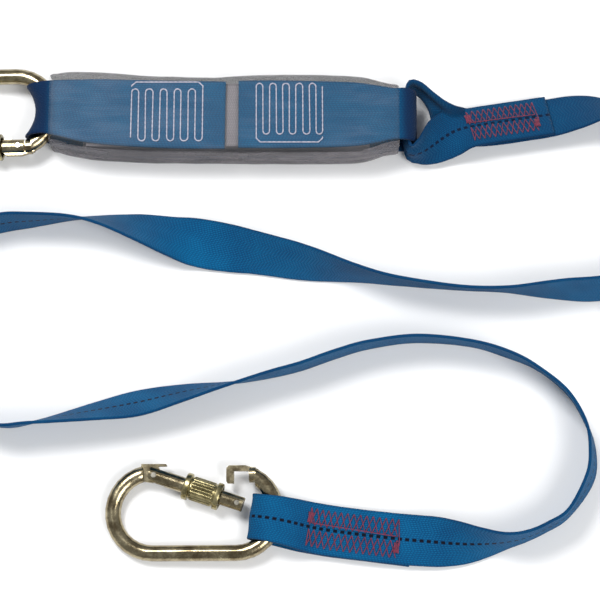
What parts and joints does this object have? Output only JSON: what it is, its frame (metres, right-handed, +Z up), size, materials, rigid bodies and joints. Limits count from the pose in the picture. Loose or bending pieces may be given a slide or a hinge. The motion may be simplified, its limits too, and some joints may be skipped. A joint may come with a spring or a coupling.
{
  "type": "shock absorbing lanyard",
  "caption": "webbing lanyard with a folded-webbing energy absorber in a clear cover and an oval screw-gate karabiner at each end",
  "frame": {"origin": "middle of the energy absorber's flat base", "axes": "+X along the absorber towards the lanyard webbing, +Z up, +Y away from the viewer"},
  "size_m": [0.5014, 0.3078, 0.0305],
  "materials": {
    "zinc": "yellow zinc plated, satin",
    "sleeve": "yellow zinc plated, satin, fluted",
    "steel": "plain, satin",
    "strap": "woven polyester, matte",
    "loop": "woven polyester, matte",
    "core": "woven tear webbing, matte",
    "cover": "clear soft film",
    "white": "polyester thread",
    "red": "polyester thread"
  },
  "bodies": {
    "absorber": {"absorber_cover": "cover", "tear_webbing_core": "core", "harness_loop_strap": "loop", "lanyard_loop_strap": "loop", "harness_side_stitching": "white", "lanyard_side_stitching": "white", "lanyard_webbing": "strap", "near_eye_stitching": "red", "far_eye_stitching": "red"},
    "harness_karabiner": {"harness_frame": "zinc", "harness_hinge_rivet": "steel"},
    "harness_gate_body": {"harness_gate": "zinc", "harness_latch_pin": "steel", "harness_gate_spring": "steel"},
    "harness_sleeve_body": {"harness_screw_sleeve": "sleeve"},
    "harness_plunger_body": {"harness_plunger": "steel"},
    "anchor_karabiner": {"anchor_frame": "zinc", "anchor_hinge_rivet": "steel"},
    "anchor_gate_body": {"anchor_gate": "zinc", "anchor_latch_pin": "steel", "anchor_gate_spring": "steel"},
    "anchor_sleeve_body": {"anchor_screw_sleeve": "sleeve"},
    "anchor_plunger_body": {"anchor_plunger": "steel"}
  },
  "joints": [
    {"name": "harness_karabiner_swing", "type": "hinge", "parent": "absorber", "child": "harness_karabiner", "pos_m": [-0.131, 0.0055, 0.0114], "axis": [0, 0, 1], "range_deg": [-25, 4]},
    {"name": "harness_gate_hinge", "type": "hinge", "parent": "harness_karabiner", "child": "harness_gate_body", "pos_m": [-0.17968, -0.0167, 0.00795], "axis": [0.0797, -0.0199, -0.9966], "range_deg": [-28, 0], "stiffness_Nm_per_rad": 0.12},
    {"name": "harness_sleeve_travel", "type": "slide", "parent": "harness_gate_body", "child": "harness_sleeve_body", "axis": [0.9968, 0, 0.0797], "range_m": [-0.003, 0.0105]},
    {"name": "harness_plunger_slide", "type": "slide", "parent": "harness_gate_body", "child": "harness_plunger_body", "axis": [0.9968, 0, 0.0797], "range_m": [0, 0.0004398], "deforming": ["harness_gate_spring"]},
    {"name": "anchor_karabiner_swing", "type": "hinge", "parent": "absorber", "child": "anchor_karabiner", "pos_m": [0.0077, -0.242, 0.0092], "axis": [0, 0, 1], "range_deg": [-12, 12]},
    {"name": "anchor_gate_hinge", "type": "hinge", "parent": "anchor_karabiner", "child": "anchor_gate_body", "pos_m": [-0.04109, -0.21983, 0.00775], "axis": [-0.0524, -0.0499, 0.9974], "range_deg": [-9.5, 18.5], "stiffness_Nm_per_rad": 0.12},
    {"name": "anchor_sleeve_travel", "type": "slide", "parent": "anchor_gate_body", "child": "anchor_sleeve_body", "axis": [0.9478, -0.3169, 0.0339], "range_m": [-0.003, 0.0105]},
    {"name": "anchor_plunger_slide", "type": "slide", "parent": "anchor_gate_body", "child": "anchor_plunger_body", "axis": [0.9478, -0.3169, 0.0339], "range_m": [-0.0002906, 0.0001492], "deforming": ["anchor_gate_spring"]}
  ],
  "couplings": [
    {"joint": "harness_plunger_slide", "follows": "harness_gate_hinge", "m_per_rad": -0.0009},
    {"joint": "anchor_plunger_slide", "follows": "anchor_gate_hinge", "m_per_rad": -0.0009}
  ]
}
